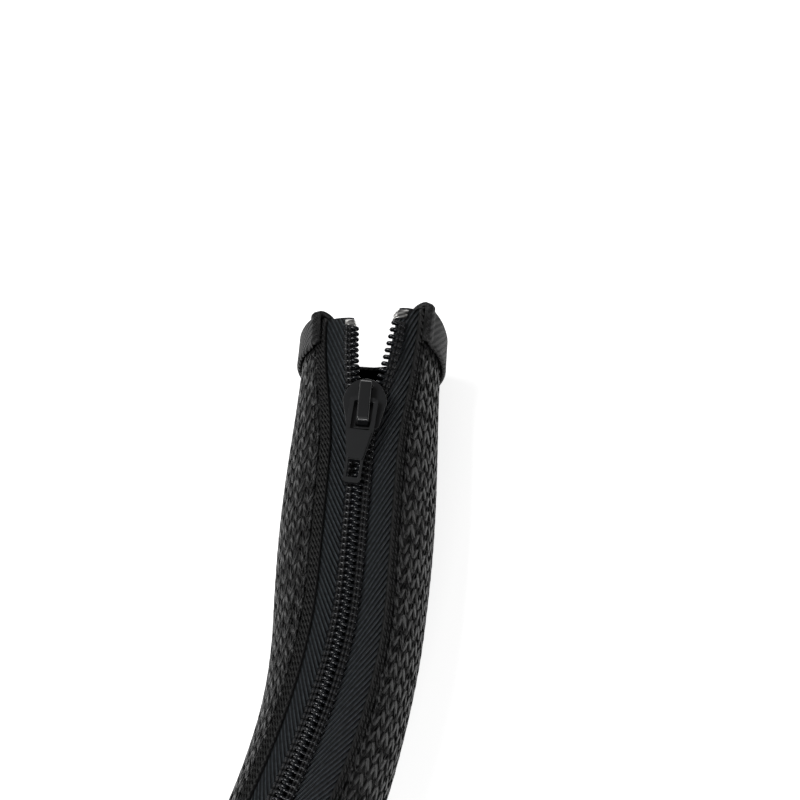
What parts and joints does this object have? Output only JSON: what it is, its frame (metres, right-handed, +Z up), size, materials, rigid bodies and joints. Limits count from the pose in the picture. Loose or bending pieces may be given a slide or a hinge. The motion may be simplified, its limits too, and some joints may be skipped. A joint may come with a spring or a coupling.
{
  "type": "zippered cable sleeve",
  "caption": "Braided fabric tube with a lengthwise coil zip, open at a bound mouth, with a metal slider and a swinging pull tab.",
  "frame": {"origin": "on the ground under the middle of the open mouth", "axes": "+Z up through the zip, +Y out of the open mouth, +X to the sleeve's right side"},
  "size_m": [0.0572, 0.5062, 0.0411],
  "materials": {
    "braid": "black braided filament with a slight sheen",
    "binding": "black woven tape",
    "tape": "bluish black twill tape",
    "nylon": "glossy black nylon filament",
    "bright_metal": "bright crimped metal",
    "painted_metal": "matt charcoal enamel"
  },
  "bodies": {
    "sleeve": {"braided_sleeve": "braid", "mouth_binding": "binding", "far_end_binding": "binding", "zip_tape_left": "tape", "zip_tape_right": "tape", "zip_coil_left": "nylon", "zip_coil_right": "nylon", "top_stop_left": "bright_metal", "top_stop_right": "bright_metal", "bottom_stop": "bright_metal"},
    "slider": {"slider_body": "painted_metal", "slider_bridge": "painted_metal"},
    "pull": {"pull_tab": "painted_metal"}
  },
  "joints": [
    {"name": "slider_travel", "type": "slide", "parent": "sleeve", "child": "slider", "axis": [0, -1, 0], "range_m": [0, 0.05], "deforming": ["zip_coil_left", "zip_coil_right", "zip_tape_left", "zip_tape_right"]},
    {"name": "pull_swing", "type": "hinge", "parent": "slider", "child": "pull", "pos_m": [0, -0.0294, 0.0393], "axis": [-1, 0, 0], "range_deg": [0, 150]}
  ]
}
